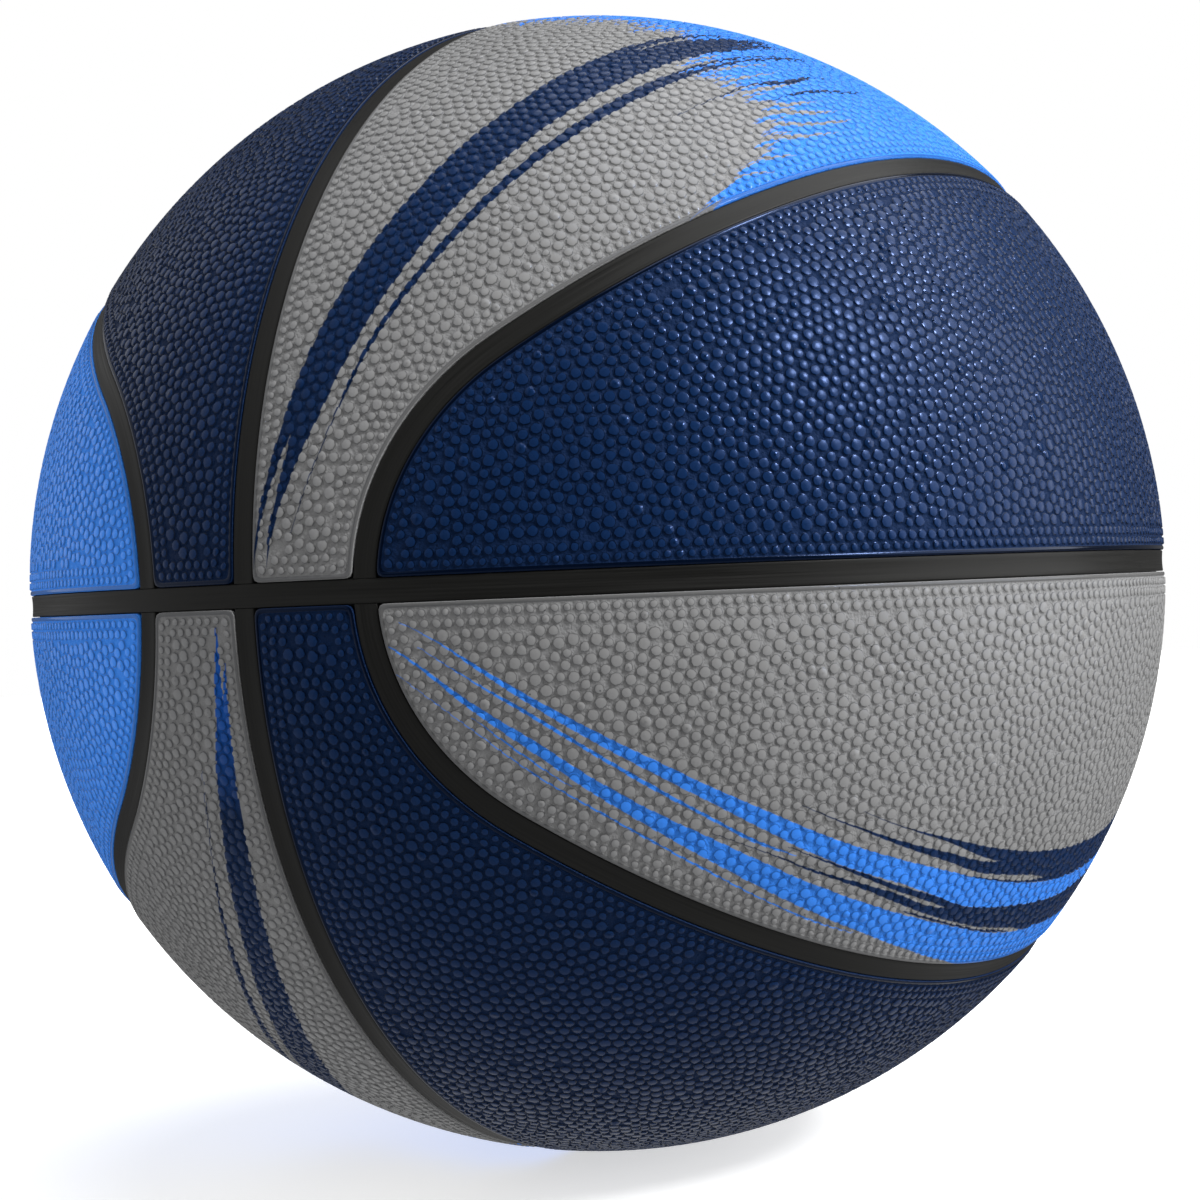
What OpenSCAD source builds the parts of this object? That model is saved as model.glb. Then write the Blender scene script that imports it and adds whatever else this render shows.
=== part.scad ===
// Basketball: eight cover panels laid between black rubber seam strips on a rubber carcass,
// over a thread winding and an inflated bladder with its needle valve.
// The origin is the centre of the ball, +Z is up and the valve sits on the far side, near +Y.

/* [Ball] */
// Outside diameter over the tops of the pebbles
ball_d = 240; // [180:1:260]

/* [Layers] */
// Thickness of the pebbled cover panels
cover_t = 1.8; // [1.4:0.1:3]
// Thickness of the moulded rubber carcass
carcass_t = 0.9; // [0.6:0.1:2]
// Thickness of the thread winding
winding_t = 0.4; // [0.2:0.1:1]
// Wall of the butyl bladder
bladder_t = 0.7; // [0.5:0.1:1.5]
// Adhesive line between bonded layers
glue_gap = 0.05; // [0.02:0.01:0.1]

/* [Seams] */
// Width of a seam from one panel edge to the next
seam_w = 4.5; // [3:0.1:6]
// How far the floor of a seam lies below the cover at its edges
seam_depth = 0.5; // [0.3:0.05:0.8]
// Open line between a strip and the edge of a panel
edge_gap = 0.12; // [0.05:0.01:0.3]
// Distance of a side loop from the middle of the ball, where it crosses the equator
loop_gap = 24.2; // [18:0.2:32]
// Radius of the turn that a side loop makes there
loop_turn_r = 52; // [36:0.5:64]
// Slope of a side loop's straight run against the equator, seen from the front
loop_slope_deg = 38.3; // [34:0.1:44]

/* [Valve] */
// Bore of the valve plug for an inflating needle
needle_d = 2.2; // [1.8:0.1:2.8]
// Depth of the needle guide below the face of the plug
needle_depth = 9; // [6:0.5:11]
// Diameter of the valve plug
plug_d = 6.4; // [5.4:0.1:8]
// Whole length of the valve plug
plug_len = 16; // [13:0.5:20]
// How far the face of the plug lies below the cover
plug_sink = 0.4; // [0.2:0.1:1]
// How far the plug flares at its mouth to guide a needle in
mouth_flare = 0.5; // [0.2:0.05:0.8]
// How far the ring that locks the plug in its housing stands out from the plug
lock_ring_reach = 1; // [0.5:0.1:1.3]
// Height of that ring
lock_ring_h = 2; // [1:0.1:3]
// Depth of the ring's top below the face of the plug
lock_ring_depth = 9.5; // [8:0.1:11]
// Wall of the rubber housing round the plug
housing_wall = 2.2; // [1.8:0.1:3]
// Floor of the housing under the plug
housing_floor = 1.2; // [0.8:0.1:2]
// Air hole through that floor
air_hole_d = 2.6; // [2:0.1:3.4]
// Diameter of the flange that bonds the housing to the bladder
flange_d = 32; // [24:0.5:40]
// Thickness of that flange
flange_t = 0.9; // [0.6:0.1:2]
// Clearance round the plug, in its housing and in the cover
plug_fit = 0.1; // [0.05:0.01:0.2]
// Width of the self-closing slit under the needle guide
slit_w = 0.2; // [0.15:0.01:0.3]
// Latitude of the valve
valve_up_deg = 15; // [12:0.5:20]
// Angle from the meridian seam to the valve
valve_side_deg = 8; // [7:0.5:9]

/* [Colours] */
// Dark panels
navy = "#162a5c";
// Stripe panels
grey = "#9a9da0";
// Bright panels
blue = "#2f7be0";
// Seam strips, valve and bladder
black = "#1a1a1b";

/* [Hidden] */
$fn = 128;

// Radii of the layers, from the outside in
cover_out = ball_d / 2;
cover_in = cover_out - cover_t;
strip_out = cover_out - seam_depth;
carcass_out = cover_in - glue_gap;
carcass_in = carcass_out - carcass_t;
winding_out = carcass_in - glue_gap;
winding_in = winding_out - winding_t;
bladder_out = winding_in - glue_gap;
bladder_in = bladder_out - bladder_t;
flange_out = bladder_in - glue_gap;
flange_in = flange_out - flange_t;

// Cutting solids start well inside the layers and reach past the cover
root_share = 0.8;
reach_share = 1.25;
cut_in = cover_out * root_share;
cut_out = cover_out * reach_share;

// Half widths of a seam, of its strip, and of what the equator strip keeps clear
seam_half = seam_w / 2;
strip_half = seam_half - edge_gap;
end_half = strip_half + glue_gap;

// Middle of a side loop's turn. The turn stands out by a hair where its straight run starts,
// so that the two cross cleanly.
turn_x = loop_gap + loop_turn_r;
hair = 0.02;

// Plug and housing, as distances from the centre of the ball along the valve
plug_top = cover_out - plug_sink;
plug_bottom = plug_top - plug_len;
ring_top = plug_top - lock_ring_depth;
ring_bottom = ring_top - lock_ring_h;
housing_bottom = plug_bottom - plug_fit - housing_floor;
housing_d = plug_d + 2 * plug_fit + 2 * housing_wall;
lock_ring_d = plug_d + 2 * lock_ring_reach;

// Everything between two radii
module shell(inner, outer) {
    difference() {
        sphere(r = outer);
        sphere(r = inner);
    }
}

// The seams are drawn on the XZ plane and cut straight through the ball along Y
module through_ball() {
    rotate([90, 0, 0])
        linear_extrude(2 * cut_out, center = true)
            children();
}

// Inside of the right loop's line, with the line moved out by a distance
module loop_block(grow) {
    r = loop_turn_r + grow;
    start = [turn_x - r * sin(loop_slope_deg), r * cos(loop_slope_deg)];
    end = start + 2 * cut_out * [cos(loop_slope_deg), sin(loop_slope_deg)];
    through_ball()
        polygon([[turn_x, 0], start, end, [end[0], 0]]);
    through_ball()
        translate([turn_x, 0])
            circle(r = r + hair);
}

// Everything to the right of one distance and above another
module quadrant(right, above) {
    through_ball()
        translate([right, above])
            square([2 * cut_out, 2 * cut_out]);
}

// Panel inside the upper half of the right loop
module side_panel_body() {
    intersection() {
        shell(cover_in, cover_out);
        quadrant(0, seam_half);
        loop_block(-seam_half);
    }
}

// Panel between the meridian and the upper half of the right loop
module band_panel_body() {
    difference() {
        intersection() {
            shell(cover_in, cover_out);
            quadrant(seam_half, seam_half);
        }
        loop_block(seam_half);
    }
}

// Upper half of the right loop's strip, ending on the equator strip
module loop_strip_body() {
    difference() {
        intersection() {
            shell(cover_in, strip_out);
            quadrant(0, end_half);
            loop_block(strip_half);
        }
        loop_block(-strip_half);
    }
}

// Upper half of the meridian's strip, ending on the equator strip
module meridian_strip_body() {
    intersection() {
        shell(cover_in, strip_out);
        through_ball()
            translate([-strip_half, end_half])
                square([2 * strip_half, cut_out]);
    }
}

module at_valve() {
    rotate([0, 0, valve_side_deg])
        rotate([valve_up_deg - 90, 0, 0])
            children();
}

// Straight hole along the valve, through every layer outside the bladder's air space
module valve_hole(d) {
    at_valve()
        translate([0, 0, cut_in])
            cylinder(d = d, h = cut_out - cut_in);
}

// Layer with the hole that the valve housing passes through
module pierced_shell(inner, outer) {
    difference() {
        shell(inner, outer);
        valve_hole(housing_d + 2 * glue_gap);
    }
}

module bladder() {
    color(black) pierced_shell(bladder_in, bladder_out);
}

module winding() {
    color("ivory") pierced_shell(winding_in, winding_out);
}

module carcass() {
    color("dimgray") pierced_shell(carcass_in, carcass_out);
}

// Stepped plug shape, grown all round by a clearance
module plug_space(grow) {
    translate([0, 0, plug_bottom - grow])
        cylinder(d = plug_d + 2 * grow, h = plug_len + grow);
    translate([0, 0, ring_bottom - grow])
        cylinder(d = lock_ring_d + 2 * grow, h = lock_ring_h + 2 * grow);
}

module valve_housing() {
    color("dimgray") difference() {
        union() {
            intersection() {
                at_valve() cylinder(d = flange_d, h = cut_out);
                shell(flange_in, flange_out);
            }
            intersection() {
                at_valve() translate([0, 0, housing_bottom])
                    cylinder(d = housing_d, h = cut_out - housing_bottom);
                sphere(r = carcass_out);
            }
        }
        at_valve() plug_space(plug_fit);
        at_valve() translate([0, 0, housing_bottom - housing_floor])
            cylinder(d = air_hole_d, h = housing_floor * 3);
    }
}

module valve_plug() {
    color(black) at_valve() difference() {
        plug_space(0);
        translate([0, 0, plug_top - needle_depth])
            cylinder(d = needle_d, h = needle_depth + plug_sink);
        translate([0, 0, plug_top - mouth_flare])
            cylinder(d1 = needle_d, d2 = needle_d + 4 * mouth_flare, h = 2 * mouth_flare);
        translate([-needle_d / 2, -slit_w / 2, plug_bottom - plug_fit])
            cube([needle_d, slit_w, plug_len - needle_depth + 2 * plug_fit]);
    }
}

module equator_strip() {
    color(black) intersection() {
        shell(cover_in, strip_out);
        through_ball()
            square([2 * cut_out, 2 * strip_half], center = true);
    }
}
module upper_meridian_strip() { color(black) meridian_strip_body(); }
module lower_meridian_strip() { color(black) mirror([0, 0, 1]) meridian_strip_body(); }
module right_loop_upper_strip() { color(black) loop_strip_body(); }
module right_loop_lower_strip() { color(black) mirror([0, 0, 1]) loop_strip_body(); }
module left_loop_upper_strip() { color(black) mirror([1, 0, 0]) loop_strip_body(); }
module left_loop_lower_strip() { color(black) rotate([0, 180, 0]) loop_strip_body(); }

module right_upper_panel() { color(navy) side_panel_body(); }
module right_lower_panel() { color(grey) mirror([0, 0, 1]) side_panel_body(); }
module left_upper_panel() { color(blue) mirror([1, 0, 0]) side_panel_body(); }
module left_lower_panel() { color(blue) rotate([0, 180, 0]) side_panel_body(); }

module top_right_panel() { color(grey) band_panel_body(); }
module top_left_panel() {
    color(navy) difference() {
        mirror([1, 0, 0]) band_panel_body();
        valve_hole(plug_d + 2 * plug_fit);
    }
}
module bottom_right_panel() { color(navy) mirror([0, 0, 1]) band_panel_body(); }
module bottom_left_panel() { color(grey) rotate([0, 180, 0]) band_panel_body(); }

bladder();
valve_housing();
valve_plug();
winding();
carcass();
equator_strip();
upper_meridian_strip();
lower_meridian_strip();
right_loop_upper_strip();
right_loop_lower_strip();
left_loop_upper_strip();
left_loop_lower_strip();
right_upper_panel();
right_lower_panel();
left_upper_panel();
left_lower_panel();
top_right_panel();
top_left_panel();
bottom_right_panel();
bottom_left_panel();
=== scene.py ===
"""The looks of a basketball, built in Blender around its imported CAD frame.

Lengths are in metres, unless a name ends in mm, and angles on the cover are in degrees. The origin
is the centre of the ball, +Z is up and the camera stands near -Y. The pebbled cover is laid out in
code, because no operator sets thousands of pebbles in rows along a seam. The operators then raise
the pebbles, and model the seam strips and the studio.
"""

import logging
import math
from collections.abc import Callable, Iterator, Sequence
from contextlib import contextmanager
from dataclasses import dataclass, field
from enum import Enum

import bpy
import numpy as np
from mathutils import Euler, Matrix, Vector
from mathutils.geometry import delaunay_2d_cdt
from mathutils.kdtree import KDTree


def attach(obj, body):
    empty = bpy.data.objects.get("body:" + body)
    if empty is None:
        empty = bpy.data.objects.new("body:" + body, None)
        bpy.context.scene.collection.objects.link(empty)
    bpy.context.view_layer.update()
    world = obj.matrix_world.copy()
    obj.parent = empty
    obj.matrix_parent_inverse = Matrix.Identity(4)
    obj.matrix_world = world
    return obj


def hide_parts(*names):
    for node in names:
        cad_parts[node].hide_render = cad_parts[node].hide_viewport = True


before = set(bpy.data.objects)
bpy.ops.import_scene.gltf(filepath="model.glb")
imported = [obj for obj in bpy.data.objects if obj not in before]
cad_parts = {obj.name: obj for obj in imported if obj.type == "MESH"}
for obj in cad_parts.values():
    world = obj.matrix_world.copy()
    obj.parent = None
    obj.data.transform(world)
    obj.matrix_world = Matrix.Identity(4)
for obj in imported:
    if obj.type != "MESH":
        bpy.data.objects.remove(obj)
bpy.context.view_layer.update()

MM = 0.001
HALF_TURN = 180.0
# Most values of a noise texture lie in this span.
NOISE_SPAN = (0.3, 0.7)
# Radians that a wave texture runs through in a metre at a scale of 1.
WAVE_RATE = 20
BODY = "root"
LOG = logging.getLogger("basketball")

Points = np.ndarray
Object = bpy.types.Object
Socket = bpy.types.NodeSocket
Tree = bpy.types.NodeTree
Curve = Sequence[tuple[float, float]]
Edge = tuple[float, float, float]
Stroke = Sequence[Edge]


def linear(colour: str) -> tuple[float, float, float, float]:
    """Turns a hex colour, such as "#162a5c", to linear red, green and blue, with an alpha of 1."""
    parts = [int(colour[i:i + 2], 16) / 255 for i in (1, 3, 5)]
    toe, slope, offset, power = 0.04045, 12.92, 0.055, 2.4
    made = [p / slope if p <= toe else ((p + offset) / (1 + offset)) ** power for p in parts]
    return (*made, 1.0)


def unit(points: Points) -> Points:
    """Returns the points as directions from the centre of the ball."""
    return points / np.linalg.norm(points, axis=-1, keepdims=True)


def lengths(points: Points) -> Points:
    """The length of each row."""
    return np.linalg.norm(points, axis=-1)


def xyz(x: Points, y: Points, z: Points) -> Points:
    """Points from their coordinates."""
    return np.stack([x, y, z], axis=-1)


def dots(first: Points, second: Points) -> Points:
    """The dot product of each row with the other array's row."""
    return np.einsum("ij,ij->i", first, second)


def same_shape(*values: float | Points) -> list[Points]:
    """Brings numbers and arrays to arrays of one shape."""
    return np.broadcast_arrays(*(np.asarray(v, float) for v in values))


def deselect_all() -> None:
    """Leaves nothing selected, because an operator acts on all that is."""
    for obj in bpy.context.selected_objects:
        obj.select_set(False)


def work_on(obj: Object) -> None:
    """Makes one object the active and only selected one."""
    deselect_all()
    bpy.context.view_layer.objects.active = obj
    obj.select_set(True)


@contextmanager
def editing() -> Iterator[None]:
    """Keeps the active object in edit mode."""
    bpy.ops.object.mode_set(mode="EDIT")
    yield
    bpy.ops.object.mode_set(mode="OBJECT")


def select_only(mesh: bpy.types.Mesh, kind: str, chosen: np.ndarray) -> None:
    """Selects some of a mesh's edges or polygons, and nothing else."""
    for name in ("vertices", "edges", "polygons"):
        items = getattr(mesh, name)
        items.foreach_set("select", chosen if name == kind else np.zeros(len(items), bool))


def vertex_places(mesh: bpy.types.Mesh) -> Points:
    """Where a mesh's vertices are, one row each."""
    points = np.zeros(len(mesh.vertices) * 3)
    mesh.vertices.foreach_get("co", points)
    return points.reshape(-1, 3)


def move_vertices(mesh: bpy.types.Mesh, points: Points) -> None:
    """Moves all of a mesh's vertices."""
    mesh.vertices.foreach_set("co", points.ravel())
    mesh.update()


@dataclass(frozen=True)
class BallSizes:
    """The sizes that the CAD model is driven by."""

    radius: float = 120 * MM
    cover: float = 1.8 * MM
    seam: float = 4.5 * MM
    strip_sink: float = 0.5 * MM
    edge_gap: float = 0.12 * MM
    glue_gap: float = 0.05 * MM
    loop_gap: float = 24.2 * MM
    loop_turn: float = 52 * MM
    loop_slope: float = math.radians(38.3)
    valve_up: float = math.radians(15)
    valve_side: float = math.radians(8)

    @property
    def half_seam(self) -> float:
        """From the middle of a seam to the edge of a panel."""
        return self.seam / 2

    @property
    def half_strip(self) -> float:
        """Half the width of a seam strip."""
        return self.half_seam - self.edge_gap

    @property
    def strip_end(self) -> float:
        """How far from the equator's middle the crossing strips end."""
        return self.half_strip + self.glue_gap

    @property
    def valve_axis(self) -> Points:
        """The direction from the middle of the ball to the valve."""
        up, side = self.valve_up, self.valve_side
        return np.array([-math.sin(side) * math.cos(up), math.cos(side) * math.cos(up), math.sin(up)])


BALL = BallSizes()


@dataclass(frozen=True)
class SeamLines:
    """The seams as lines on the ball, and lines beside them.

    They are drawn on the XZ plane and cut straight through along Y. The right loop turns on a
    circle where it crosses the equator and runs straight from there.
    """

    ball: BallSizes
    corner_rounds: int = 4

    @property
    def turn_x(self) -> float:
        """Middle of the loop's turn."""
        return self.ball.loop_gap + self.ball.loop_turn

    @property
    def run_axes(self) -> tuple[Points, Points]:
        """The straight run's direction, and the one square to it, as (x, z)."""
        slope = self.ball.loop_slope
        return np.array([math.cos(slope), math.sin(slope)]), np.array([-math.sin(slope), math.cos(slope)])

    @property
    def run_height(self) -> float:
        """How far the straight run passes from the middle of the ball."""
        return self.ball.loop_turn - self.turn_x * math.sin(self.ball.loop_slope)

    def moved(self, height: float | Points, inset: float | Points) -> float | Points:
        """Moves a plane cut at some height from the ball's middle by an inset along the surface."""
        r = self.ball.radius
        return r * np.sin(np.arcsin(height / r) + inset / r)

    def on_ball(self, x: Points, z: Points, side: float | Points) -> Points:
        """Puts points of the XZ plane on the ball, at the near side for -1 and the far for 1."""
        y = side * np.sqrt(np.maximum(self.ball.radius**2 - x * x - z * z, 0))
        return xyz(x + 0 * y, y, z + 0 * y)

    def turn_radius(self, angle: Points, base: Points, inset: Points) -> Points:
        """Radius of a line beside the loop's turn.

        Args:
            angle: The direction from the middle of the turn, from +X towards +Z.
            base: The line's distance from the loop on the XZ plane, outwards.
            inset: The line's further distance along the surface, outwards.

        Returns:
            The distance from the middle of the turn.
        """
        rho = self.ball.loop_turn + base
        x = self.turn_x + rho * np.cos(angle)
        z = rho * np.sin(angle)
        tilt = (x * np.cos(angle) + z * np.sin(angle)) / self.ball.radius
        return rho + inset * np.sqrt(1 - tilt * tilt)

    def loop(self, share: Points, base: float | Points, inset: float | Points, end: float | Points) -> Points:
        """Points of a line beside the upper half of the right loop.

        Args:
            share: How far along the line, from 0 at the near crossing to 1 at the far one.
            base: The line's distance from the loop on the XZ plane, positive away from +X.
            inset: The line's further distance along the surface, the same way.
            end: The height above the equator at which the line ends.

        Returns:
            One point on the ball for each share.
        """
        share, base, inset, end = same_shape(share, base, inset, end)
        r, slope = self.ball.radius, self.ball.loop_slope
        along, square = self.run_axes
        side = np.where(share <= 0.5, -1.0, 1.0)
        to_middle = np.minimum(share, 1 - share)

        start = np.full(share.shape, math.pi)
        for _ in range(self.corner_rounds):
            start = math.pi - np.arcsin(end / self.turn_radius(start, base, inset))
        stop = math.pi / 2 + slope
        cut = self.moved(self.run_height + base, inset)
        circle = np.sqrt(r * r - cut * cut)
        begins = np.arccos(self.turn_x * math.cos(slope) / circle)

        turn_length = self.ball.loop_turn * (math.pi - stop)
        turn_share = turn_length / (2 * turn_length + 2 * r * math.acos(self.turn_x * math.cos(slope) / r))
        angle = start + (stop - start) * np.minimum(to_middle / turn_share, 1)
        rho = self.turn_radius(angle, base, inset)
        turned = self.on_ball(self.turn_x + rho * np.cos(angle), rho * np.sin(angle), side)

        bend = begins * (1 - np.clip((to_middle - turn_share) / (0.5 - turn_share), 0, 1))
        reach = circle * np.cos(bend)
        over = side * circle * np.sin(bend)
        run = xyz(cut * square[0] + reach * along[0], over, cut * square[1] + reach * along[1])
        return np.where((to_middle < turn_share)[..., None], turned, run)

    def meridian(self, share: Points, cut: float | Points, end: float | Points) -> Points:
        """Points of a line beside the upper meridian, from its near end to its far one."""
        share, cut, end = same_shape(share, cut, end)
        circle = np.sqrt(self.ball.radius**2 - cut * cut)
        first = np.arcsin(end / circle)
        angle = first + (math.pi - 2 * first) * share
        return xyz(cut, -circle * np.cos(angle), circle * np.sin(angle))


class PanelKind(Enum):
    """The two shapes of panel."""

    BAND = "between the meridian and a side loop"
    SIDE = "inside a side loop"


@dataclass(frozen=True)
class Wall:
    """One seam that a panel ends on: how far points lie from it, and which way is away from it."""

    distance: Callable[[Points], Points]
    away: Callable[[Points], Points]


@dataclass(frozen=True)
class PanelOutline:
    """The edge of a panel in the upper right quarter of the ball, and lines inside it."""

    lines: SeamLines
    kind: PanelKind
    spacing: float = 0.95 * MM
    least_steps: int = 3
    rounding_passes: int = 2
    steepest: float = 0.1

    @property
    def outward(self) -> int:
        """Which side of the loop the panel is on: 1 outside it and -1 inside."""
        return 1 if self.kind is PanelKind.BAND else -1

    def steps(self, start: float, end: float, length: float) -> Points:
        """Even shares along a stretch of edge, without its last one."""
        count = max(self.least_steps, round(length / self.spacing))
        return start + (end - start) * np.arange(count) / count

    def closed(self, inset: float) -> Points:
        """The closed line that runs inside the panel's edge.

        Args:
            inset: Its distance from the edge, along the surface.

        Returns:
            Directions from the middle of the ball. The same number comes back for each inset.
        """
        ball, lines, outward = self.lines.ball, self.lines, self.outward
        low = lines.moved(ball.half_seam, inset)
        shares = self.steps(0.0, 1.0, 2 * (ball.loop_turn + ball.radius))
        corner = lines.loop(np.array([0.0]), outward * ball.half_seam, outward * inset, low)[0]
        if self.kind is PanelKind.BAND:
            reach = self.steps(0.0, 1.0, ball.loop_gap - ball.seam)
            over = self.steps(0.0, 1.0, math.pi * ball.radius)
            edges = [
                lines.on_ball(low + (corner[0] - low) * reach, np.full(reach.shape, low), -1.0),
                lines.loop(shares, ball.half_seam, inset, low),
                lines.on_ball(corner[0] + (low - corner[0]) * reach, np.full(reach.shape, low), 1.0),
                lines.meridian(1 - over, low, low),
            ]
        else:
            turn = math.atan2(corner[1], corner[0])
            angle = self.steps(turn, -turn, math.pi * ball.radius - 2 * ball.loop_gap)
            circle = math.sqrt(ball.radius**2 - low * low)
            edges = [
                xyz(circle * np.cos(angle), circle * np.sin(angle), np.full(angle.shape, low)),
                lines.loop(1 - shares, -ball.half_seam, -inset, low),
            ]
        outline = unit(np.concatenate(edges))
        for _ in range(self.rounding_passes):
            outline = unit(np.roll(outline, 1, 0) + 2 * outline + np.roll(outline, -1, 0))
        return outline

    def walls(self) -> list[Wall]:
        """The seams round the panel, which keep its pebbles in."""
        ball, lines, outward = self.lines.ball, self.lines, self.outward
        r = ball.radius
        along, square = lines.run_axes
        run_cut = lines.run_height + outward * ball.half_seam
        turn_edge = ball.loop_turn + outward * ball.half_seam
        middle = np.array([lines.turn_x, 0.0])

        def plane(axis: Points) -> Wall:
            first = math.asin(ball.half_seam / r)
            return Wall(lambda p: r * (np.arcsin(p @ axis) - first), lambda p: np.broadcast_to(axis, p.shape))

        def loop_distance(p: Points) -> Points:
            flat = p[:, [0, 2]] * r
            rho = lengths(flat - middle)
            tilt = dots(flat, flat - middle) / (rho * r)
            turn = (rho - turn_edge) / np.sqrt(np.maximum(1 - tilt * tilt, self.steepest))
            run = r * (np.arcsin(np.clip(flat @ square / r, -1, 1)) - math.asin(run_cut / r))
            return outward * np.where((flat - middle) @ along > 0, run, turn)

        def loop_away(p: Points) -> Points:
            flat = p[:, [0, 2]] * r
            out = unit(flat - middle)
            out = np.where(((flat - middle) @ along > 0)[:, None], square, out) * outward
            return xyz(out[:, 0], np.zeros(len(p)), out[:, 1])

        walls = [plane(np.array([0.0, 0.0, 1.0])), Wall(loop_distance, loop_away)]
        if self.kind is PanelKind.BAND:
            walls.append(plane(np.array([1.0, 0.0, 0.0])))
        return walls


@dataclass(frozen=True)
class PebbleSizes:
    """The pebbles of the cover, as moulded on such balls."""

    pitch: float = 2.4 * MM
    radius: float = 1.08 * MM
    spread_share: float = 0.1
    least: float = 0.62 * MM
    most: float = 1.2 * MM
    row_radius: float = 0.9 * MM
    row_spread: float = 0.05
    rows: int = 2
    gap: float = 0.13 * MM
    lip: float = 0.9 * MM
    height: float = 0.38 * MM
    shoulder: float = 0.22 * MM
    corners: int = 8
    pimple_gap: float = 0.27 * MM
    pimple_share: float = 0.12
    dimple_share: float = 0.05
    dimple: float = 0.12 * MM


@dataclass
class PebbleField:
    """Where the pebbles of one panel lie.

    The shares say how close the edge rows lie and how far apart their pebbles stay, how far the
    spiral's places are shaken, how hard close pebbles push, how much room they want, how far a
    pebble may grow into free room, and how small the room may be before a pebble is left out. In
    pebble radii, an edge row is row_depth deep, the loose pebbles start row_clear behind the rows, and
    the valve's collar pushes at those within collar_reach.
    """

    outline: PanelOutline
    sizes: PebbleSizes
    seed: int
    keep_out: tuple[Points, float] | None = None
    rounds: int = 44
    rounds_per_search: int = 4
    nearest: int = 8
    row_share: float = 0.9
    row_room: float = 0.86
    shake_share: float = 0.25
    push_share: float = 0.3
    want_share: float = 1.04
    grow_share: float = 1.12
    least_share: float = 0.35
    row_depth: float = 2.1
    row_clear: float = 0.5
    collar_reach: float = 4.0
    closest: float = 1e-9

    @property
    def ball(self) -> BallSizes:
        """The ball's sizes."""
        return self.outline.lines.ball

    def edge_rows(self) -> Points:
        """Neat rows of pebbles that follow the panel's edge."""
        sizes = self.sizes
        step = 2 * sizes.row_radius + 2 * sizes.gap
        least = self.row_room * step
        kept: list[Points] = []
        for number in range(sizes.rows):
            line = self.outline.closed(sizes.lip + sizes.row_radius + number * self.row_share * step)
            ends = np.concatenate([line, line[:1]])
            run = np.concatenate([[0.0], np.cumsum(lengths(np.diff(ends, axis=0)))])
            count = int(run[-1] * self.ball.radius / step)
            at = (np.arange(count) + 0.5 * number) / count * run[-1]
            for point in unit(xyz(*(np.interp(at, run, ends[:, i]) for i in range(3)))):
                if not kept or lengths(np.array(kept) - point).min() * self.ball.radius > least:
                    kept.append(point)
        return np.array(kept)

    def scatter(self, rng: np.random.Generator, margin: float) -> Points:
        """Even starting places inside the panel, on a spiral over the whole ball."""
        radius, pitch = self.ball.radius, self.sizes.pitch
        cell = math.sqrt(3) / 2 * pitch**2
        count = round(4 * math.pi * radius**2 / cell)
        index = np.arange(count) + 0.5
        height = 1 - 2 * index / count
        turn = index * math.pi * (1 + math.sqrt(5))
        ring = np.sqrt(1 - height * height)
        points = xyz(ring * np.cos(turn), ring * np.sin(turn), height)
        points = unit(points + rng.normal(0, self.shake_share * pitch / radius, points.shape))
        return points[np.all([w.distance(points) > margin for w in self.outline.walls()], axis=0)]

    def neighbours(self, points: Points) -> np.ndarray:
        """The nearest other points of each point, as indices."""
        tree = KDTree(len(points))
        for i, p in enumerate(points):
            tree.insert(p, i)
        tree.balance()
        return np.array([[n[1] for n in tree.find_n(p, self.nearest + 1)][1:] for p in points])

    def hold_in(self, points: Points, radii: Points) -> Points:
        """Moves points back inside the panel's lip and off the valve's collar."""
        radius = self.ball.radius
        for wall in self.outline.walls():
            short = self.sizes.lip + radii - wall.distance(points)
            away = wall.away(points)
            away = unit(away - dots(away, points)[:, None] * points)
            points = unit(points + np.maximum(short, 0)[:, None] / radius * away)
        if self.keep_out is not None:
            middle, reach = self.keep_out
            away = points - middle
            distance = lengths(away) * radius
            short = np.where(distance < reach + self.collar_reach * radii, reach + radii - distance, 0)
            points = unit(points + np.maximum(short, 0)[:, None] / radius * unit(away))
        return points

    def settle(self) -> tuple[Points, Points]:
        """Lets the pebbles push each other apart until they lie close and even.

        Returns:
            Their directions from the middle of the ball, and their radii.
        """
        sizes = self.sizes
        rng = np.random.default_rng(self.seed)
        rows = self.edge_rows()
        behind_rows = self.row_depth * sizes.rows + self.row_clear
        points = self.scatter(rng, sizes.lip + behind_rows * sizes.row_radius)
        radii = sizes.radius * np.exp(rng.normal(0, sizes.spread_share, len(points)))
        row_shares = rng.uniform(1 - sizes.row_spread, 1 + sizes.row_spread, len(rows))
        radii = np.concatenate([sizes.row_radius * row_shares, radii])
        radii = np.clip(radii, sizes.least, sizes.most)
        points = np.concatenate([rows, points])
        loose = (np.arange(len(points)) >= len(rows))[:, None]
        near = self.neighbours(points)
        for i in range(self.rounds):
            if i % self.rounds_per_search == self.rounds_per_search - 1:
                near = self.neighbours(points)
            apart = points[:, None] - points[near]
            distance = lengths(apart) * self.ball.radius
            wanted = self.want_share * (radii[:, None] + radii[near] + sizes.gap)
            push = np.clip(wanted - distance, 0, None) * self.push_share
            move = (apart / np.maximum(distance, self.closest)[..., None] * push[..., None]).sum(1)
            points = self.hold_in(unit(points + move * loose), radii)
        room = self.room(points, radii)
        kept = room > self.least_share * sizes.least
        return points[kept], np.minimum(room, self.grow_share * radii)[kept]

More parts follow.
